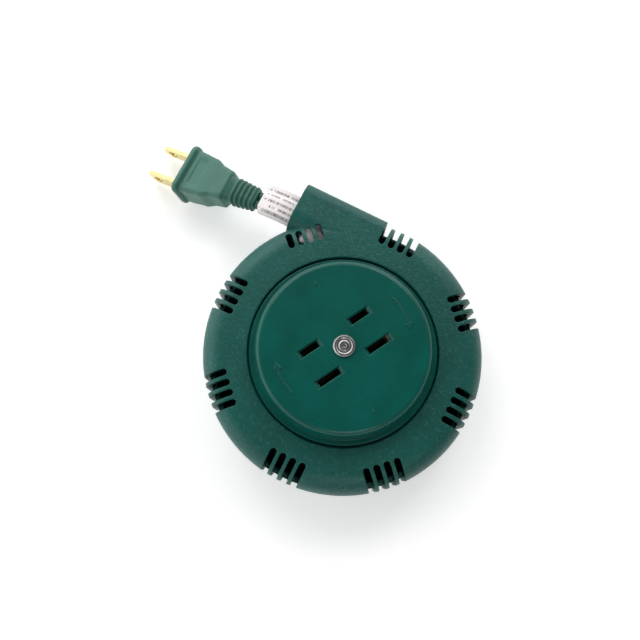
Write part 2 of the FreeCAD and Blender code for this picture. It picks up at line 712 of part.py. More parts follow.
def strain_relief():
    """A tapered sleeve with ribs across it."""
    (w_end, h_end), (w_body, h_body) = RELIEF_ENDS
    ends = [rounded_section(0, w_end, h_end, h_end / 2 - 0.2)]
    ends.append(rounded_section(RELIEF_L, w_body, h_body, h_body / 2 - 0.2))
    pieces = [Part.makeLoft(ends, True)]
    pitch = (RELIEF_L - 1.2) / RELIEF_RIBS
    for i in range(RELIEF_RIBS):
        x = 0.4 + i * pitch
        share = (x + RIB_T / 2) / RELIEF_L
        width = w_end + (w_body - w_end) * share + 2 * RIB_OUT
        height = h_end + (h_body - h_end) * share + 2 * RIB_OUT
        pieces.append(plate((x, x + RIB_T), width, height, height / 2 - 0.6))
    return fused(pieces)


def lead_height(x):
    """The height of the lead's centre line where it passes x."""
    points = lead_route()
    for right, left in zip(points, points[1:]):
        if left.x <= x:
            return right.z + (left.z - right.z) * (right.x - x) / (right.x - left.x)
    return points[-1].z


def tag_section(x):
    """Across the cord the folded tag is thick round the lead and thin at both edges."""
    half_w = TAG_W / 2
    outline = [(-half_w, TAG_EDGE_T / 2), (-LEAD_R, TAG_T / 2), (LEAD_R, TAG_T / 2)]
    outline += [(half_w, TAG_EDGE_T / 2), (half_w, -TAG_EDGE_T / 2)]
    outline += [(LEAD_R, -TAG_T / 2), (-LEAD_R, -TAG_T / 2), (-half_w, -TAG_EDGE_T / 2)]
    points = [V(x, TAG_Y + y, lead_height(x) + z) for y, z in outline]
    return Part.makePolygon(points + points[:1])


def warning_tag(lead):
    """A printed tag folded round the cord, with the cord through it."""
    crest = lead_route()[3].x
    low, high = TAG_X
    places = (high, lead_route()[2].x, crest, low)
    sleeve = Part.makeLoft([tag_section(x) for x in places], True, True)
    y_range = (TAG_Y - TAG_W / 2 - 0.01, TAG_Y + TAG_W / 2 + 0.01)
    plan = block(TAG_X, y_range, (0, HOUSING_H))
    plan = plan.makeFillet(TAG_CORNER, [e for e in plan.Edges if e.BoundBox.ZLength > HOUSING_H - 1])
    return sleeve.common(plan).cut(lead)


def build():
    os.makedirs("parts", exist_ok=True)
    outside, inside = housing_walls()
    save("front_shell", front_shell(outside, inside))
    save("rear_shell", rear_shell(outside, inside))
    save("shell_screws", shell_screws())
    save("centre_pin", centre_pin())
    save("thrust_washer", thrust_washer())
    save("outlet_cover", outlet_cover())
    save("spool", spool())
    save("hub_screws", hub_screws())
    save("contact_carrier", contact_carrier())
    for pole, way in POLARITY.items():
        save(f"{pole}_bus", bus_strip(way))
        save(f"{pole}_crimp", crimp(way))
        save(f"{pole}_hub_wire", hub_wire(way))
    save("cord_winding", cord_winding())
    save("cord_tail", cord_tail())
    save("tail_clip", tail_clip())
    lead = tube(lead_route(), LEAD_R, "cord lead")
    save("cord_lead", lead)
    save("warning_tag", warning_tag(lead))
    body = plug_body()
    relief = strain_relief()
    bridge = blade_bridge()
    for pole in POLARITY:
        metal = blade(pole)
        wire = plug_wire(pole)
        save(f"{pole}_blade", on_plug(metal.cut(wire)))
        save(f"{pole}_plug_wire", on_plug(wire))
        filled = metal.fuse(wire)
        body = body.cut(filled)
        relief = relief.cut(filled)
        bridge = bridge.cut(filled)
    save("blade_bridge", on_plug(bridge))
    save("plug_body", on_plug(body.cut(plate(BRIDGE, *BRIDGE_SIZE, 1.5))))
    save("strain_relief", on_plug(relief))


build()
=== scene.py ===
import json
from math import cos, pi, radians, sin, sqrt

import bpy
from mathutils import Matrix, Vector


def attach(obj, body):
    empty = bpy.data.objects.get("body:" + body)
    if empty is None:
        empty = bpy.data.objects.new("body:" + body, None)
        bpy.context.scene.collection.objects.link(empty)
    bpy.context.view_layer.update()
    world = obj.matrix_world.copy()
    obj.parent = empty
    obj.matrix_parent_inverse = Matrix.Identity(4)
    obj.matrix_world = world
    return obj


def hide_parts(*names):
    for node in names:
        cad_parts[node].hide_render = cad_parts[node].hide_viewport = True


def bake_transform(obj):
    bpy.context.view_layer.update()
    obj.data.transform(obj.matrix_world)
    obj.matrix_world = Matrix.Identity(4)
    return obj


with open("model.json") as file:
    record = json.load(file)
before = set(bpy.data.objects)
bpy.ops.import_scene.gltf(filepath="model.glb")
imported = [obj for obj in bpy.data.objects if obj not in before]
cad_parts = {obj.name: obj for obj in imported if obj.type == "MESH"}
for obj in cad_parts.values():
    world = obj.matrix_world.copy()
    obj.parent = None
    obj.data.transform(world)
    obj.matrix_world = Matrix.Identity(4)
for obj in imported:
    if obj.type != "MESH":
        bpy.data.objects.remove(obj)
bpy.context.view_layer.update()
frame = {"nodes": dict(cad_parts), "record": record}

# Sizes are in millimetres and are turned into metres where a mesh is made.
MM = 0.001

# The lead's route, the same points as in the part's source
LEAD_ROUTE = ((-1.0, 42.0, 12.6), (-16.0, 42.2, 15.0), (-32.0, 42.6, 18.3),
              (-46.4353, 40.7, 22.2922), (-58.9, 40.7, 18.6))
RELIEF_END = Vector(LEAD_ROUTE[-1])
PLUG_PITCH = radians(16.5)
LEAD_TWIST_X = (-3.0, -22.0)
LEAD_RESOLUTION = 14

# Flat twin lead
LOBE_R = 1.88
LOBE_OUT = 1.8
LOBE_WEB = radians(30)
LEAD_LOBE_POINTS = 22
WOUND_LOBE_POINTS = 10

# Turns on the drum, wound two side by side
DRUM_R = 20.2
LAYER = 3.72
WINDING_ROWS = (8.6, 15.95)
WINDING_TURNS = 9.266
LAST_ANGLE = 90.0
TURN_POINTS = 24
LIFT_OFF = 0.16
WINDING_RESOLUTION = 3
# Turns from the start of a layer at which the lead begins to cross to the other row, and to climb
CROSSING_START = 0.82
CLIMB_START = 1.84

# Length of the strain relief, along the plug's own axis
RELIEF_L = 13.7

# Tag folded round the lead
TAG_X = (-24.0, -57.4)
TAG_Y = 42.4
TAG_HALF_W = 6.7
TAG_CORNER = 2.0
TAG_CURL = 5.8
TAG_SPREAD = 4.8
PAPER_T = 0.16
# Height of the long wave along the tag and of the ripple over it, and how fast each one turns per millimetre
TAG_WAVE = 0.12
TAG_WAVE_RATE = 0.35
TAG_RIPPLE = 0.06
TAG_RIPPLE_RATES = (0.22, 1.3)
TAG_STEPS = 60
TAG_ACROSS = 22
# Distances from the lead's middle at which the leaves lie together, and at which they stand clear of it
TAG_OPENS = (5.9, 2.6)
TAG_SLACK = 0.25
# Each leaf's least distance from the middle, in thicknesses of the paper
LEAF_GAP = 0.8
# Along the tag, from where it hangs free to where it is spread; across it, from flat to fully curled
SPREAD_X = (-38.5, -34.5)
CURL_ACROSS = (0.5, 5.5)


# Meshes --------------------------------------------------------------------

def smoothstep(low, high, value):
    share = min(1.0, max(0.0, (value - low) / (high - low)))
    return share * share * (3 - 2 * share)


def mesh_piece(name, points, faces, body, material, stands_for):
    """A piece from points in millimetres; it rides on a body and stands for CAD nodes."""
    mesh = bpy.data.meshes.new(name)
    mesh.from_pydata([Vector(p) * MM for p in points], [], faces)
    mesh.validate()
    mesh.shade_smooth()
    piece = bpy.data.objects.new(name, mesh)
    bpy.context.scene.collection.objects.link(piece)
    piece.data.materials.append(material)
    if body:
        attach(piece, body)
    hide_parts(*stands_for)
    return piece


def skin(rings, capped=True):
    """Points and faces of a skin over closed rings of equal length."""
    count = len(rings[0])
    points = [p for ring in rings for p in ring]
    faces = []
    for i in range(len(rings) - 1):
        for j in range(count):
            k = (j + 1) % count
            faces.append((i * count + j, i * count + k, (i + 1) * count + k, (i + 1) * count + j))
    if capped:
        faces.append(tuple(reversed(range(count))))
        faces.append(tuple(range((len(rings) - 1) * count, len(rings) * count)))
    return points, faces


def spline_points(route, resolution):
    """Points in millimetres along the smooth NURBS line that has the route as its control points."""
    curve = bpy.data.curves.new("route", "CURVE")
    curve.dimensions = "3D"
    curve.resolution_u = resolution
    spline = curve.splines.new("NURBS")
    spline.points.add(len(route) - 1)
    for point, place in zip(spline.points, route):
        point.co = (*(Vector(place) * MM), 1.0)
    spline.order_u = 3
    spline.use_endpoint_u = True
    holder = bpy.data.objects.new("route", curve)
    line = bpy.data.meshes.new_from_object(holder)
    points = [v.co / MM for v in line.vertices]
    bpy.data.objects.remove(holder)
    bpy.data.meshes.remove(line)
    return points


def twin_section(per_lobe):
    """Across the lead: two round lobes joined by a web."""
    outline = []
    for side in (1, -1):
        for i in range(per_lobe):
            angle = -pi + LOBE_WEB + (2 * pi - 2 * LOBE_WEB) * i / (per_lobe - 1)
            across, up = LOBE_OUT + LOBE_R * cos(angle), LOBE_R * sin(angle)
            outline.append((side * across, side * up))
    return outline


def swept(path, outline, width_way):
    """Rings of the outline along the path; width_way(i) gives where the section's width points."""
    rings = []
    for i, place in enumerate(path):
        ahead = path[min(i + 1, len(path) - 1)] - path[max(i - 1, 0)]
        ahead.normalize()
        wide = width_way(i)
        wide = (wide - ahead * wide.dot(ahead)).normalized()
        thick = ahead.cross(wide)
        rings.append([place + wide * a + thick * b for a, b in outline])
    return rings


# Cord ----------------------------------------------------------------------

def make_lead(material):
    """The flat lead: on edge where it leaves the winding, a quarter twist, then flat to the plug."""
    path = spline_points(LEAD_ROUTE, LEAD_RESOLUTION)

    def width_way(i):
        turn = smoothstep(-LEAD_TWIST_X[0], -LEAD_TWIST_X[1], -path[i].x) * pi / 2
        return Vector((0, sin(turn), cos(turn)))

    points, faces = skin(swept(path, twin_section(LEAD_LOBE_POINTS), width_way))
    lead = mesh_piece("twin_lead", points, faces, None, material, ("cord_lead",))
    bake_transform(lead)
    return lead, path


def winding_place(turn):
    """Where the wound lead's centre is after so many turns from the drum."""
    layer = int(turn / 2)
    within = turn - 2 * layer
    crossing = smoothstep(CROSSING_START, 1.0, within)
    if layer % 2:
        crossing = 1 - crossing
    climb = layer + smoothstep(CLIMB_START, 2.0, within)
    radius = DRUM_R + LAYER / 2 + LAYER * climb
    height = WINDING_ROWS[0] + (WINDING_ROWS[1] - WINDING_ROWS[0]) * crossing
    off = smoothstep(WINDING_TURNS - LIFT_OFF, WINDING_TURNS, turn)
    radius += (LEAD_ROUTE[0][1] - radius) * off
    height += (LEAD_ROUTE[0][2] - height) * off
    angle = radians(LAST_ANGLE - 360 * (WINDING_TURNS - turn))
    return Vector((radius * cos(angle), radius * sin(angle), height))


def make_winding(material):
    steps = int(WINDING_TURNS * TURN_POINTS)
    route = [winding_place(WINDING_TURNS * i / steps) for i in range(steps + 1)]
    path = spline_points(route, WINDING_RESOLUTION)
    rings = swept(path, twin_section(WOUND_LOBE_POINTS), lambda i: Vector((0, 0, 1)))
    points, faces = skin(rings)
    return mesh_piece("wound_lead", points, faces, "hub", material, ("cord_winding",))


# Plug ----------------------------------------------------------------------

def on_plug(along, across, up):
    """From the plug's own axes to the reel's, in millimetres."""
    c, s = cos(PLUG_PITCH), sin(PLUG_PITCH)
    return RELIEF_END + Vector((-along * c - up * s, -across, -along * s + up * c))


CORNER_POINTS = 9
BODY_SIDE_POINTS = 15
RELIEF_SIDE_POINTS = 5


def soft_rectangle(half_w, half_h, corner, per_side):
    """A rounded rectangle with points along its sides as well as round its corners."""
    outline = []
    inner_w, inner_h = half_w - corner, half_h - corner
    centres = ((inner_w, inner_h), (-inner_w, inner_h), (-inner_w, -inner_h), (inner_w, -inner_h))
    for i, (cx, cy) in enumerate(centres):
        for j in range(CORNER_POINTS):
            angle = radians(90 * i + 90 * j / (CORNER_POINTS - 1))
            outline.append((cx + corner * cos(angle), cy + corner * sin(angle)))
        nx, ny = centres[(i + 1) % 4]
        end = radians(90 * i + 90)
        first = (cx + corner * cos(end), cy + corner * sin(end))
        last = (nx + corner * cos(end), ny + corner * sin(end))
        for j in range(1, per_side):
            share = j / per_side
            outline.append(tuple(a + (b - a) * share for a, b in zip(first, last)))
    return outline


def between(stations, x):
    """Values of the stations, a list of (x, value, value...), at x."""
    for low, high in zip(stations, stations[1:]):
        if x <= high[0]:
            share = smoothstep(low[0], high[0], x)
            return [a + (b - a) * share for a, b in zip(low[1:], high[1:])]
    return list(stations[-1][1:])


# x, half width, half height, corner
BODY_STATIONS = ((13.1, 6.0, 4.9, 2.3), (13.9, 6.7, 5.4, 2.0), (15.6, 6.9, 5.5, 1.8), (17.6, 7.2, 5.6, 1.7),
                 (23.0, 9.0, 5.95, 1.6), (30.2, 9.6, 6.2, 1.5), (31.6, 9.7, 6.3, 1.4))
# x, half width, half height, corner of the rim round the plug's face
RIM_STATIONS = ((31.6, 9.7, 6.3, 1.4), (31.8, 9.2, 5.9, 1.4), (32.4, 9.2, 5.9, 1.4), (32.6, 10.0, 6.6, 2.0),
                (32.9, 10.8, 7.3, 2.7), (33.5, 11.0, 7.5, 3.0), (34.5, 11.0, 7.5, 3.0),
                (34.9, 10.8, 7.3, 2.8), (35.1, 10.3, 6.8, 2.5))
RECESS_X = (25.0, 30.0)
RECESS_HALF_W = 6.2
RECESS_DEPTH = 0.35
RECESS_WALL = 0.5
FACE_SOFT = 0.01
BODY_STEPS = 58


def body_rings():
    rings = []
    first, last = BODY_STATIONS[0][0], BODY_STATIONS[-1][0]
    xs = [first + i * (last - first) / BODY_STEPS for i in range(BODY_STEPS + 1)]
    for x in xs:
        half_w, half_h, corner = between(BODY_STATIONS, x)
        ring = []
        for a, b in soft_rectangle(half_w, half_h, corner, BODY_SIDE_POINTS):
            inside = smoothstep(RECESS_X[0], RECESS_X[0] + RECESS_WALL, x)
            inside *= smoothstep(-RECESS_X[1], RECESS_WALL - RECESS_X[1], -x)
            inside *= smoothstep(-RECESS_HALF_W, RECESS_WALL - RECESS_HALF_W, -abs(a))
            if abs(b) > half_h - FACE_SOFT:
                b -= RECESS_DEPTH * inside * (1 if b > 0 else -1)
            ring.append(on_plug(x, a, b))
        rings.append(ring)
    for x, half_w, half_h, corner in RIM_STATIONS[1:]:
        outline = soft_rectangle(half_w, half_h, corner, BODY_SIDE_POINTS)
        rings.append([on_plug(x, a, b) for a, b in outline])
    return rings


def make_plug_body(material):
    points, faces = skin(body_rings())
    return mesh_piece("plug_shell", points, faces, "cord_end", material, ("plug_body",))


# Strain relief: a tapered core with soft ribs across it
RELIEF_CORE = ((0.0, 3.7, 2.45), (10.6, 4.5, 3.4), (RELIEF_L, 6.2, 5.0))
RIBS = 5
RIB_OUT = 1.15
RIB_PITCH = 2.15
RIB_HALF = 0.44
RIB_FIRST = 1.1
RIB_FOOT = 0.28
RIB_SHOULDER = 0.34
RELIEF_STEPS = 136
RELIEF_CORNER = 0.82


def rib_height(x):
    """How far the nearest rib stands out at x."""
    height = 0.0
    for i in range(RIBS):
        away = abs(x - RIB_FIRST - i * RIB_PITCH)
        height = max(height, smoothstep(-RIB_HALF - RIB_FOOT, -RIB_HALF + RIB_SHOULDER, -away))
    return height


def make_relief(material):
    rings = []
    for i in range(RELIEF_STEPS + 1):
        x = RELIEF_L * i / RELIEF_STEPS
        half_w, half_h = between(RELIEF_CORE, x)
        out = RIB_OUT * rib_height(x)
        corner = half_h * RELIEF_CORNER + out / 2
        ring = soft_rectangle(half_w + out, half_h + out, corner, RELIEF_SIDE_POINTS)
        rings.append([on_plug(x, a, b) for a, b in ring])
    points, faces = skin(rings)
    return mesh_piece("relief_sleeve", points, faces, "cord_end", material, ("strain_relief",))


# Tag -----------------------------------------------------------------------

def lead_at(path, x):
    """The place on the lead's centre line where it passes x."""
    for right, left in zip(path, path[1:]):
        if left.x <= x:
            return right.lerp(left, (right.x - x) / (right.x - left.x))
    return path[-1]


def tag_half_width(x):
    end = min(TAG_X[0] - x, x - TAG_X[1])
    if end >= TAG_CORNER:
        return TAG_HALF_W
    inset = TAG_CORNER - max(end, 0.0)
    return TAG_HALF_W - TAG_CORNER + sqrt(max(0.0, TAG_CORNER**2 - inset**2))


def tag_bulge(y):
    """How far each leaf of the folded tag stands off the middle, over the lead and beside it."""
    over = smoothstep(-TAG_OPENS[0], -TAG_OPENS[1], -abs(y))
    return PAPER_T * LEAF_GAP + (LOBE_R + TAG_SLACK) * over


def spread_share(x):
    """0 where the tag hangs out of the spout, 1 where it lies inside."""
    return smoothstep(*SPREAD_X, x)


def tag_curl(x, across):
    """Inside the spout the tag's disc-side half curls up against the shell, under the vents."""
    return TAG_CURL * spread_share(x) * smoothstep(*CURL_ACROSS, -across)


def make_tag(path, material):
    """Two paper leaves, closed along the fold and the glued edge, with the lead between them."""
    rings = []
    for i in range(TAG_STEPS + 1):
        x = TAG_X[0] + (TAG_X[1] - TAG_X[0]) * i / TAG_STEPS
        half_w = tag_half_width(x)
        low_half_w = half_w + TAG_SPREAD * spread_share(x)
        lead = lead_at(path, x)
        middle = lead.z + TAG_WAVE * sin(x * TAG_WAVE_RATE)
        ring = []
        for way in (1, -1):
            for j in range(TAG_ACROSS):
                share = way * (1 - 2 * j / TAG_ACROSS)
                y = share * (half_w if share > 0 else low_half_w)
                ripple = y * TAG_RIPPLE_RATES[1] + x * TAG_RIPPLE_RATES[0]
                rise = TAG_RIPPLE * sin(ripple) + tag_curl(x, y)
                bulge = tag_bulge(TAG_Y + y - lead.y)
                ring.append(Vector((x, TAG_Y + y, middle + rise + way * bulge)))
        rings.append(ring)
    points, faces = skin(rings, capped=False)
    tag = mesh_piece("printed_tag", points, faces, "cord_end", material, ("warning_tag",))
    paper = tag.modifiers.new("paper", "SOLIDIFY")
    paper.thickness = PAPER_T * MM
    paper.offset = 1.0
    return tag


# Materials -------------------------------------------------------------------

def add(tree, kind, inputs=None, **settings):
    """A node with its settings, and each input set to a value or linked to a socket."""
    made = tree.nodes.new(kind)
    for name, value in settings.items():
        setattr(made, name, value)
    for key, value in (inputs or {}).items():
        if isinstance(value, bpy.types.NodeSocket):
            tree.links.new(value, made.inputs[key])
        else:
            made.inputs[key].default_value = value
    return made


def maths(tree, operation, a, b=0.0, clamp=False):
    return add(tree, "ShaderNodeMath", {0: a, 1: b}, operation=operation, use_clamp=clamp).outputs[0]


def mixed(tree, share, a, b):
    made = add(tree, "ShaderNodeMix", {0: share, 6: a, 7: b}, data_type="RGBA")
    return made.outputs[2]


def ramped(tree, value, low, high, to_low=0.0, to_high=1.0):
    inputs = {0: value, 1: low, 2: high, 3: to_low, 4: to_high}
    return add(tree, "ShaderNodeMapRange", inputs, interpolation_type="SMOOTHSTEP").outputs[0]


def noise(tree, place, scale, detail=2.0, roughness=0.5):
    inputs = {"Vector": place, "Scale": scale, "Detail": detail, "Roughness": roughness}
    return add(tree, "ShaderNodeTexNoise", inputs).outputs[0]


def object_place(tree):
    return add(tree, "ShaderNodeTexCoord").outputs["Object"]


def new_group(name, inputs, outputs):
    tree = bpy.data.node_groups.new(name, "ShaderNodeTree")
    for socket, value in inputs:
        made = tree.interface.new_socket(socket, in_out="INPUT", socket_type="NodeSocketFloat")
        made.default_value = value
    for socket, kind in outputs:
        tree.interface.new_socket(socket, in_out="OUTPUT", socket_type=kind)
    return tree, tree.nodes.new("NodeGroupInput").outputs, tree.nodes.new("NodeGroupOutput").inputs


def moulded_grain_group():
    """The sandy skin of a spark-eroded mould: its height, and a mask of specks where a painted sparkle of
    light is laid into the colour.
    """
    outputs = (("Height", "NodeSocketFloat"), ("Painted sparkle", "NodeSocketFloat"))
    tree, given, out = new_group("moulded grain", (("Scale", 1600.0),), outputs)
    place = object_place(tree)
    coarse = noise(tree, place, given["Scale"], 3.0, 0.62)
    fine = noise(tree, place, maths(tree, "MULTIPLY", given["Scale"], 2.7), 2.0, 0.5)
    height = maths(tree, "ADD", maths(tree, "MULTIPLY", coarse, 0.7), maths(tree, "MULTIPLY", fine, 0.3))
    tree.links.new(height, out["Height"])
    tree.links.new(ramped(tree, coarse, 0.50, 0.72), out["Painted sparkle"])
    return tree


def rounded_edge_group():
    """Slightly rounded moulding edges, and a broken mask along them, used to paint a highlight on the edges
    and to make them a little smoother as if rubbed.
    """
    outputs = (("Edge rub and painted highlight", "NodeSocketFloat"), ("Normal", "NodeSocketVector"))
    tree, given, out = new_group("rounded edges", (("Radius", 0.0004),), outputs)
    bevel = add(tree, "ShaderNodeBevel", {"Radius": given["Radius"]}, samples=6)
    true_way = add(tree, "ShaderNodeNewGeometry").outputs["Normal"]
    same = add(tree, "ShaderNodeVectorMath", {0: bevel.outputs[0], 1: true_way}, operation="DOT_PRODUCT")
    turned = maths(tree, "SUBTRACT", 1.0, same.outputs["Value"])
    broken = ramped(tree, noise(tree, object_place(tree), 420.0, 3.0), 0.32, 0.62, 0.35, 1.0)
    mask = maths(tree, "MULTIPLY", ramped(tree, turned, 0.015, 0.2), broken, clamp=True)
    tree.links.new(mask, out["Edge rub and painted highlight"])
    tree.links.new(bevel.outputs[0], out["Normal"])
    return tree


def flow_marks_group():
    """Wide soft clouds in the plastic, and faint handling marks."""
    outputs = (("Clouds", "NodeSocketFloat"), ("Marks", "NodeSocketFloat"))
    tree, given, out = new_group("flow marks", (("Scale", 45.0),), outputs)
    place = object_place(tree)
    clouds = ramped(tree, noise(tree, place, given["Scale"], 4.0, 0.6), 0.3, 0.7)
    stretch = {"Vector": place, "Rotation": (0, 0, 0.6), "Scale": (1.0, 7.0, 2.0)}
    streaks = add(tree, "ShaderNodeMapping", stretch)
    marks = ramped(tree, noise(tree, streaks.outputs[0], 160.0, 4.0, 0.7), 0.58, 0.72)
    tree.links.new(clouds, out["Clouds"])
    tree.links.new(marks, out["Marks"])
    return tree


GROUPS = {}


def placed(tree, name, **values):
    """A shared node group in this material, with its own values."""
    made = tree.nodes.new("ShaderNodeGroup")
    made.node_tree = GROUPS[name]
    for socket, value in values.items():
        made.inputs[socket].default_value = value
    return made.outputs


def new_finish(name):
    material = bpy.data.materials.new(name)
    material.use_nodes = True
    tree = material.node_tree
    tree.nodes.clear()
    surface = add(tree, "ShaderNodeBsdfPrincipled")
    out = add(tree, "ShaderNodeOutputMaterial")
    tree.links.new(surface.outputs[0], out.inputs[0])
    return material, tree, surface.inputs


def tone(colour, factor):
    return (*(min(1.0, c * factor) for c in colour), 1.0)


# Painted sparkle: how far the grain's light specks are lifted towards white, a painted highlight for the
# light the grain catches
PAINTED_SPARKLE_WHITE = 0.018


def moulded(name, colour, rough, grain, depth, edge=0.0004, painted_sparkle=0.35, edge_highlight_tone=1.7, clouds=45.0, specular=0.5):
    """Moulded plastic: clouds in its colour, sandy grain, a painted sparkle in the grain, and a painted
    highlight along the edges, which are also a little smoother.
    """
    material, tree, surface = new_finish(name)
    flow = placed(tree, "flow", Scale=clouds)
    skin_grain = placed(tree, "grain", Scale=grain)
    edges = placed(tree, "edges", Radius=edge)
    base = mixed(tree, flow["Clouds"], tone(colour, 0.86), tone(colour, 1.12))
    # Painted sparkle: light specks of the grain mixed into the colour as painted highlights
    sparkle_colour = tone([c + PAINTED_SPARKLE_WHITE for c in colour], 1.5)
    with_painted_sparkle = mixed(tree, maths(tree, "MULTIPLY", skin_grain["Painted sparkle"], painted_sparkle), base, sparkle_colour)
    # Painted edge highlight: the colour lightened along the edges, broken up in patches
    edge_highlighted = mixed(tree, maths(tree, "MULTIPLY", edges["Edge rub and painted highlight"], 0.55), with_painted_sparkle, tone(colour, edge_highlight_tone))
    tree.links.new(edge_highlighted, surface["Base Color"])
    uneven = ramped(tree, flow["Marks"], 0.0, 1.0, rough, rough * 0.8)
    rubbed = maths(tree, "SUBTRACT", uneven, maths(tree, "MULTIPLY", edges["Edge rub and painted highlight"], 0.1))
    tree.links.new(rubbed, surface["Roughness"])
    bump = add(tree, "ShaderNodeBump", {"Strength": 1.0, "Distance": depth, "Height": skin_grain["Height"],
                                        "Normal": edges["Normal"]})
    tree.links.new(bump.outputs[0], surface["Normal"])
    surface["Specular IOR Level"].default_value = specular
    return material


def brushed(name, colour, rough, stretch, scale=900.0, depth=0.00002, rings=False, stain=0.25):
    """Bare metal: fine tool lines, an uneven polish, darker stains and a painted highlight along the edges.
    """
    material, tree, surface = new_finish(name)
    place = object_place(tree)
    if rings:
        parts = add(tree, "ShaderNodeSeparateXYZ", {0: place}).outputs
        square = maths(tree, "ADD", maths(tree, "POWER", parts[0], 2.0), maths(tree, "POWER", parts[1], 2.0))
        away = maths(tree, "SQRT", square)
        place = add(tree, "ShaderNodeCombineXYZ", {0: away, 2: parts[2]}).outputs[0]
    lines = add(tree, "ShaderNodeMapping", {"Vector": place, "Scale": stretch}).outputs[0]
    tool = noise(tree, lines, scale, 3.0, 0.6)
    dull = noise(tree, object_place(tree), 210.0, 4.0, 0.6)
    edges = placed(tree, "edges", Radius=0.00015)
    stained = mixed(tree, ramped(tree, dull, 0.45, 0.75, 0.0, stain), tone(colour, 1.0), tone(colour, 0.45))
    shade = mixed(tree, ramped(tree, tool, 0.35, 0.65), tone(colour, 0.86), stained)
    # Painted edge highlight: the colour lightened along the edges
    tree.links.new(mixed(tree, edges["Edge rub and painted highlight"], shade, tone(colour, 1.2)), surface["Base Color"])
    tree.links.new(ramped(tree, dull, 0.3, 0.7, rough * 0.8, rough * 1.3), surface["Roughness"])
    bump = add(tree, "ShaderNodeBump", {"Strength": 1.0, "Distance": depth, "Height": tool,
                                        "Normal": edges["Normal"]})
    tree.links.new(bump.outputs[0], surface["Normal"])
    surface["Metallic"].default_value = 1.0
    return material


# Rows of print on the tag, measured across it, and how far each one starts from its outer end
PRINT_ROWS = ((4.6, 3.0), (2.1, 3.0), (-0.5, 3.0), (-2.9, 4.4), (-5.2, 2.2))
PRINT_HALF = 0.52
BULLET_ROWS = (4.6, 2.1, -0.5)
BULLET_R = 0.34
BULLET_X = 1.7
PRINT_END = 15.0
PRINT_SOFT = 0.1
PRINT_STRENGTH = 0.72
PAPER_TONES = ((0.80, 0.75, 0.75, 1), (0.87, 0.82, 0.82, 1))
INK = (0.03, 0.025, 0.03, 1)


def band(tree, value, middle, half, soft=0.08):
    """1 where value lies within half of the middle, with a soft border."""
    away = maths(tree, "ABSOLUTE", maths(tree, "SUBTRACT", value, middle))
    return ramped(tree, away, half, half + soft, 1.0, 0.0)


def tag_finish():
    """Plasticised paper with plain printed rules in word lengths and round bullets."""
    material, tree, surface = new_finish("printed tag paper")
    place = object_place(tree)
    scaled = add(tree, "ShaderNodeVectorMath", {0: place, 1: (1 / MM,) * 3}, operation="MULTIPLY").outputs[0]
    x, y, _ = add(tree, "ShaderNodeSeparateXYZ", {0: scaled}).outputs
    across = maths(tree, "SUBTRACT", y, TAG_Y)
    along = maths(tree, "SUBTRACT", x, TAG_X[1])
    ink = None
    for row, (middle, start) in enumerate(PRINT_ROWS):
        line = band(tree, across, middle, PRINT_HALF)
        begun = ramped(tree, along, start, start + PRINT_SOFT)
        spot = add(tree, "ShaderNodeCombineXYZ", {0: along, 1: 7.3 * row}).outputs[0]
        words = ramped(tree, noise(tree, spot, 0.62, 1.0), 0.40, 0.43)
        strokes = ramped(tree, noise(tree, spot, 3.4, 1.0), 0.42, 0.5, 0.25, 1.0)
        row_mask = maths(tree, "MULTIPLY", line, begun)
        printed = maths(tree, "MULTIPLY", row_mask, maths(tree, "MULTIPLY", words, strokes))
        ink = printed if ink is None else maths(tree, "MAXIMUM", ink, printed)
    for middle in BULLET_ROWS:
        spot = maths(tree, "POWER", maths(tree, "SUBTRACT", along, BULLET_X), 2.0)
        rise = maths(tree, "POWER", maths(tree, "SUBTRACT", across, middle), 2.0)
        away = maths(tree, "SQRT", maths(tree, "ADD", spot, rise))
        bullet = ramped(tree, away, BULLET_R, BULLET_R + PRINT_SOFT, 1.0, 0.0)
        ink = maths(tree, "MAXIMUM", ink, bullet)
    normal = add(tree, "ShaderNodeNewGeometry").outputs["Normal"]
    up = add(tree, "ShaderNodeSeparateXYZ", {0: normal}).outputs[2]
    outside = ramped(tree, maths(tree, "ABSOLUTE", up), 0.3, 0.5)
    fibres = noise(tree, scaled, 2.6, 5.0, 0.7)
    paper = mixed(tree, ramped(tree, fibres, 0.35, 0.65), *PAPER_TONES)
    hanging = ramped(tree, along, PRINT_END, PRINT_END + 0.3, 1.0, 0.0)
    shown = maths(tree, "MULTIPLY", ink, outside)
    share = maths(tree, "MULTIPLY", shown, maths(tree, "MULTIPLY", hanging, PRINT_STRENGTH))
    tree.links.new(mixed(tree, share, paper, INK), surface["Base Color"])
    tree.links.new(ramped(tree, fibres, 0.3, 0.7, 0.42, 0.6), surface["Roughness"])
    bump = add(tree, "ShaderNodeBump", {"Strength": 0.6, "Distance": 0.00004, "Height": fibres})
    tree.links.new(bump.outputs[0], surface["Normal"])
    return material


HOUSING_GREEN = (0.0012, 0.08, 0.065)
DISC_GREEN = (0.0006, 0.084, 0.066)
PLUG_GREEN = (0.038, 0.145, 0.108)
CORD_GREEN = (0.008, 0.06, 0.045)
# Painted shade: the spool is made near-black so the inside of the housing, seen through the vents, reads as
# dark as its shade
SHADE_DARKENED_SPOOL = (0.012, 0.014, 0.0135)
IVORY = (0.46, 0.40, 0.29)
NYLON = (0.5, 0.49, 0.44)
BLACK_VINYL = (0.012, 0.012, 0.013)
WHITE_VINYL = (0.66, 0.65, 0.62)
PIN_STEEL = (0.40, 0.40, 0.405)
ZINC_STEEL = (0.5, 0.51, 0.53)
BRIGHT_BRASS = (0.83, 0.68, 0.30)
# Painted shade: the outlet's contact brass is darkened far below bright brass so the blade slots read black
SHADE_DARKENED_BRASS = (0.17, 0.12, 0.05)
COPPER = (0.72, 0.33, 0.18)


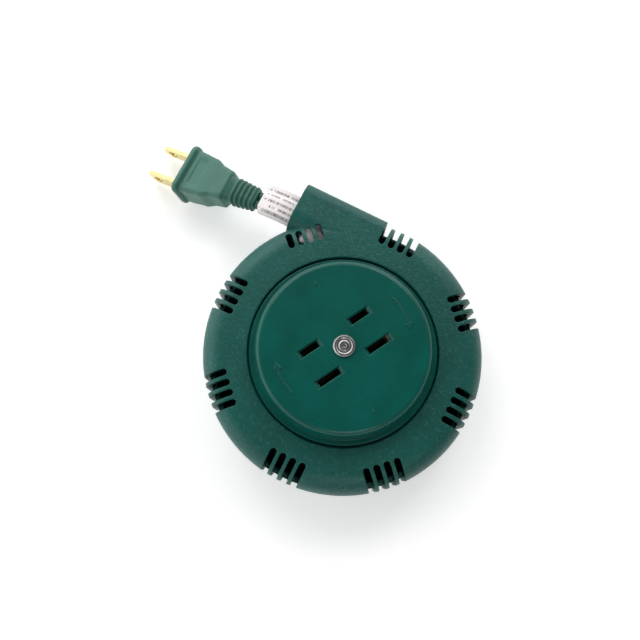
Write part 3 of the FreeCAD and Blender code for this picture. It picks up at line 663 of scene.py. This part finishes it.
def make_finishes():
    """Every material, by the name of its slot."""
    GROUPS["grain"] = moulded_grain_group()
    GROUPS["edges"] = rounded_edge_group()
    GROUPS["flow"] = flow_marks_group()
    return {
        "shell_plastic": moulded("eroded housing plastic", HOUSING_GREEN, 0.42, 950.0, 0.00024, edge=0.0005,
                                 painted_sparkle=0.6, specular=0.36),
        "disc_plastic": moulded("smooth disc plastic", DISC_GREEN, 0.30, 1100.0, 0.00002, edge=0.0004,
                                painted_sparkle=0.04, clouds=60.0, specular=0.3),
        "spool_plastic": moulded("spool plastic in painted shade", SHADE_DARKENED_SPOOL, 0.5, 1400.0, 0.00006),
        "plug_vinyl": moulded("soft plug vinyl", PLUG_GREEN, 0.46, 1300.0, 0.00006, edge=0.0003,
                              painted_sparkle=0.12, edge_highlight_tone=1.3),
        "cord_vinyl": moulded("lead jacket vinyl", CORD_GREEN, 0.42, 1700.0, 0.00004, edge=0.0002,
                              painted_sparkle=0.1),
        "carrier_plastic": moulded("ivory carrier plastic", IVORY, 0.5, 1500.0, 0.00006,
                                   painted_sparkle=0.1, edge_highlight_tone=1.1),
        "bridge_plastic": moulded("nylon bridge plastic", NYLON, 0.4, 1500.0, 0.00005, painted_sparkle=0.1, edge_highlight_tone=1.1),
        "line_insulation": moulded("black wire vinyl", BLACK_VINYL, 0.4, 1700.0, 0.00003, painted_sparkle=0.1),
        "neutral_insulation": moulded("white wire vinyl", WHITE_VINYL, 0.4, 1700.0, 0.00003,
                                      painted_sparkle=0.1, edge_highlight_tone=1.1),
        "tag_paper": tag_finish(),
        "pin_steel": brushed("turned pin steel", PIN_STEEL, 0.26, (1.0, 1.0, 0.2), 1300.0, 0.000004,
                             rings=True, stain=0.08),
        "screw_steel": brushed("zinc screw steel", ZINC_STEEL, 0.33, (1.0, 6.0, 6.0)),
        "blade_brass": brushed("bright blade brass", BRIGHT_BRASS, 0.22, (1.0, 9.0, 9.0), 700.0),
        "contact_brass": brushed("spring contact brass", SHADE_DARKENED_BRASS, 0.5, (1.0, 7.0, 7.0)),
        "core_copper": brushed("stranded copper", COPPER, 0.3, (1.0, 12.0, 12.0), 1400.0, 0.00005),
    }


def dress_cad_nodes(finishes):
    slots = {row["node"]: row["material_slot"] for row in frame["record"]["subparts"]}
    for node, shown in frame["nodes"].items():
        for holder in shown.material_slots:
            holder.material = finishes[slots[node]]


# Studio ----------------------------------------------------------------------

FLOOR_HALF = 1.6
FLOOR_DROP = 0.0003
FLOOR_TONE = 0.93
FLOOR_GLOW = 0.35


def make_floor():
    """A pale sheet just under the reel's flat back, giving off a little light of its own."""
    corners = ((-1, -1), (1, -1), (1, 1), (-1, 1))
    points = [(x * FLOOR_HALF, y * FLOOR_HALF, -FLOOR_DROP) for x, y in corners]
    mesh = bpy.data.meshes.new("studio_floor")
    mesh.from_pydata(points, [], [(0, 1, 2, 3)])
    floor = bpy.data.objects.new("studio_floor", mesh)
    bpy.context.scene.collection.objects.link(floor)
    material, tree, surface = new_finish("studio paper")
    surface["Base Color"].default_value = (FLOOR_TONE, FLOOR_TONE, FLOOR_TONE, 1)
    surface["Roughness"].default_value = 0.9
    surface["Emission Color"].default_value = (1, 1, 1, 1)
    surface["Emission Strength"].default_value = FLOOR_GLOW
    mesh.materials.append(material)


LAMP_AIM = Vector((-0.02, 0.01, 0.01))


def softbox(name, place, size, power):
    """A round soft lamp that points at the reel."""
    data = bpy.data.lights.new(name, "AREA")
    data.shape = "DISK"
    data.size = size
    data.energy = power
    lamp = bpy.data.objects.new(name, data)
    lamp.location = place
    lamp.rotation_mode = "QUATERNION"
    lamp.rotation_quaternion = (LAMP_AIM - Vector(place)).to_track_quat("-Z", "Y")
    bpy.context.scene.collection.objects.link(lamp)


# How bright the studio's walls are below and above this band of heights, as sines
WALL_TOP = (0.5, 0.74)
WALL_LIGHT = 1.15
CEILING_LIGHT = 0.07
# The way to the brightest wall, the cosines to it between which the light grows, and its shares there
BRIGHT_WALL = (-0.95, 0.31)
SIDE_SPAN = (-0.8, 0.9)
SIDE_SHARES = (0.35, 1.85)


def make_studio():
    """White walls all round, brighter on one side, a dark ceiling and three soft lamps."""
    world = bpy.data.worlds.new("studio")
    world.use_nodes = True
    tree = world.node_tree
    way = add(tree, "ShaderNodeTexCoord").outputs["Generated"]
    x, y, z = add(tree, "ShaderNodeSeparateXYZ", {0: way}).outputs
    toward_x = maths(tree, "MULTIPLY", x, BRIGHT_WALL[0])
    toward = maths(tree, "ADD", toward_x, maths(tree, "MULTIPLY", y, BRIGHT_WALL[1]))
    wall = ramped(tree, z, *WALL_TOP, WALL_LIGHT, CEILING_LIGHT)
    light = maths(tree, "MULTIPLY", wall, ramped(tree, toward, *SIDE_SPAN, *SIDE_SHARES))
    sky = tree.nodes["Background"].inputs
    sky["Color"].default_value = (1, 1, 1, 1)
    tree.links.new(light, sky["Strength"])
    bpy.context.scene.world = world
    softbox("left lamp", (-0.42, 0.32, 0.55), 0.42, 1.2)
    softbox("top lamp", (0.0, 0.5, 0.5), 0.3, 1.0)
    softbox("right lamp", (0.25, -0.35, 0.6), 0.3, 0.9)
    bpy.context.scene.view_settings.view_transform = "Standard"


CAMERA_PLACE = Vector((10.405, -44.701, 310.469)) * MM
CAMERA_AIM = Vector((-14.238, 8.916, 14.0)) * MM
CAMERA_UP = radians(117.0)
LENS = 42.525
SENSOR = 36.0
NEAR_CLIP = 0.01


def make_camera():
    data = bpy.data.cameras.new("camera")
    data.lens = LENS
    data.sensor_width = SENSOR
    data.clip_start = NEAR_CLIP
    camera = bpy.data.objects.new("camera", data)
    back = (CAMERA_PLACE - CAMERA_AIM).normalized()
    right = Vector((cos(CAMERA_UP), sin(CAMERA_UP), 0)).cross(back).normalized()
    up = back.cross(right)
    turn = Matrix((right, up, back)).transposed().to_4x4()
    camera.matrix_world = Matrix.Translation(CAMERA_PLACE) @ turn
    bpy.context.scene.collection.objects.link(camera)
    bpy.context.scene.camera = camera


# Build -----------------------------------------------------------------------

finishes = make_finishes()
dress_cad_nodes(finishes)
make_winding(finishes["cord_vinyl"])
lead, lead_path = make_lead(finishes["cord_vinyl"])
plug_shell = make_plug_body(finishes["plug_vinyl"])
relief_sleeve = make_relief(finishes["plug_vinyl"])
printed_tag = make_tag(lead_path, finishes["tag_paper"])

make_floor()
make_studio()
make_camera()
